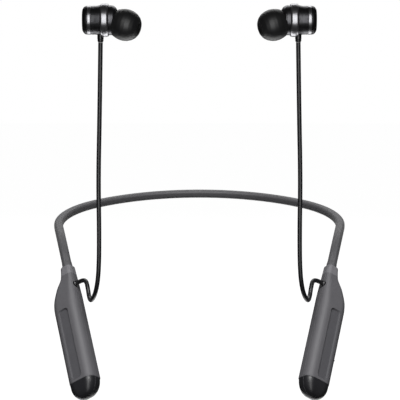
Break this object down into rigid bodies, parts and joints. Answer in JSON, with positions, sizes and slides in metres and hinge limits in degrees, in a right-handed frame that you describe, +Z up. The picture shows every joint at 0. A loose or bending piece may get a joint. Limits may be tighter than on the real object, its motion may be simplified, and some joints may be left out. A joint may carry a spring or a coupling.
{
  "type": "neckband earphones",
  "caption": "Wireless neckband earphones: flexible rubber band with a battery pod and a control pod on its arms, and an earbud with a silicone tip on a short cable from each pod.",
  "frame": {"origin": "the point of the band's inner face that rests on the nape of the neck", "axes": "-Y out of the band towards the wearer's neck and the front, +Z up as worn, +X to the control pod's side"},
  "size_m": [0.1318, 0.1254, 0.164],
  "materials": {
    "band_rubber": "matte",
    "pod_plastic": "matte",
    "key_plastic": "satin",
    "cable_jacket": "satin",
    "tip_silicone": "satin",
    "gunmetal": "satin",
    "bright_metal": "polished",
    "cap_metal": "satin",
    "spring_steel": "satin",
    "copper": "satin",
    "board": "satin",
    "cell_wrap": "satin",
    "foam": "matte",
    "magnet": "polished",
    "diaphragm_film": "gloss",
    "light_pipe": "gloss"
  },
  "bodies": {
    "rear_band": {"rear_sleeve": "band_rubber", "rear_memory_wire": "spring_steel", "rear_wiring": "copper"},
    "left_arm": {"left_arm_sleeve": "band_rubber", "left_memory_wire": "spring_steel", "left_wiring": "copper", "left_front_shell": "pod_plastic", "left_back_shell": "pod_plastic", "left_gland": "cable_jacket", "left_screws": "spring_steel", "left_cable": "cable_jacket", "battery_cell": "cell_wrap", "battery_pad": "foam", "protection_board": "board", "power_switch": "spring_steel"},
    "right_arm": {"right_arm_sleeve": "band_rubber", "right_memory_wire": "spring_steel", "right_wiring": "copper", "right_front_shell": "pod_plastic", "right_back_shell": "pod_plastic", "right_gland": "cable_jacket", "right_screws": "spring_steel", "right_cable": "cable_jacket", "main_board": "board", "shield_can": "spring_steel", "rocker_switches": "spring_steel", "mode_switch": "spring_steel", "microphone": "spring_steel", "usb_receptacle": "spring_steel", "led_light_pipe": "light_pipe", "rocker_pin": "spring_steel"},
    "power_key": {"power_key": "key_plastic"},
    "mode_key": {"mode_key": "key_plastic"},
    "volume_rocker": {"volume_rocker": "key_plastic"},
    "port_flap": {"port_flap": "band_rubber"},
    "left_bud": {"left_back_cap": "cap_metal", "left_back_magnet": "magnet", "left_rear_ring": "bright_metal", "left_barrel": "gunmetal", "left_bulge_ring": "bright_metal", "left_front_housing": "gunmetal", "left_driver": "magnet", "left_diaphragm": "diaphragm_film", "left_nozzle_mesh": "spring_steel", "left_boot": "cable_jacket"},
    "left_tip": {"left_ear_tip": "tip_silicone"},
    "right_bud": {"right_back_cap": "cap_metal", "right_back_magnet": "magnet", "right_rear_ring": "bright_metal", "right_barrel": "gunmetal", "right_bulge_ring": "bright_metal", "right_front_housing": "gunmetal", "right_driver": "magnet", "right_diaphragm": "diaphragm_film", "right_nozzle_mesh": "spring_steel", "right_boot": "cable_jacket"},
    "right_tip": {"right_ear_tip": "tip_silicone"}
  },
  "joints": [
    {"name": "left_arm_flex", "type": "hinge", "parent": "rear_band", "child": "left_arm", "pos_m": [-0.06132, -0.03294, -0.00679], "axis": [0, 0.1908, -0.9816], "range_deg": [-8, 14], "stiffness_Nm_per_rad": 0.6},
    {"name": "right_arm_flex", "type": "hinge", "parent": "rear_band", "child": "right_arm", "pos_m": [0.06132, -0.03294, -0.00679], "axis": [0, -0.1908, 0.9816], "range_deg": [-8, 14], "stiffness_Nm_per_rad": 0.6},
    {"name": "power_key_press", "type": "slide", "parent": "left_arm", "child": "power_key", "axis": [0.8261, -0.3045, 0.4741], "range_m": [0, 0.00025], "stiffness_N_per_m": 3000},
    {"name": "mode_key_press", "type": "slide", "parent": "right_arm", "child": "mode_key", "axis": [-0.8261, -0.3045, 0.4741], "range_m": [0, 0.00025], "stiffness_N_per_m": 3000},
    {"name": "volume_rock", "type": "hinge", "parent": "right_arm", "child": "volume_rocker", "pos_m": [0.0567, -0.09812, -0.05346], "axis": [-0.5162, 0.7463, -0.4201], "range_deg": [-3, 3], "stiffness_Nm_per_rad": 0.06},
    {"name": "port_flap_open", "type": "hinge", "parent": "right_arm", "child": "port_flap", "pos_m": [0.05538, -0.1041, -0.06245], "axis": [0.5162, -0.7463, 0.4201], "range_deg": [0, 100]},
    {"name": "left_bud_turn", "type": "hinge", "parent": "left_arm", "child": "left_bud", "pos_m": [-0.0405, -0.112, 0.0717], "axis": [0, 0, 1], "range_deg": [-90, 90], "stiffness_Nm_per_rad": 0.0001},
    {"name": "right_bud_turn", "type": "hinge", "parent": "right_arm", "child": "right_bud", "pos_m": [0.0405, -0.112, 0.0717], "axis": [0, 0, 1], "range_deg": [-90, 90], "stiffness_Nm_per_rad": 0.0001},
    {"name": "left_tip_pull", "type": "slide", "parent": "left_bud", "child": "left_tip", "axis": [0.9122, -0.3321, -0.24], "range_m": [0, 0.008]},
    {"name": "right_tip_pull", "type": "slide", "parent": "right_bud", "child": "right_tip", "axis": [-0.9122, -0.3321, -0.24], "range_m": [0, 0.008]}
  ]
}
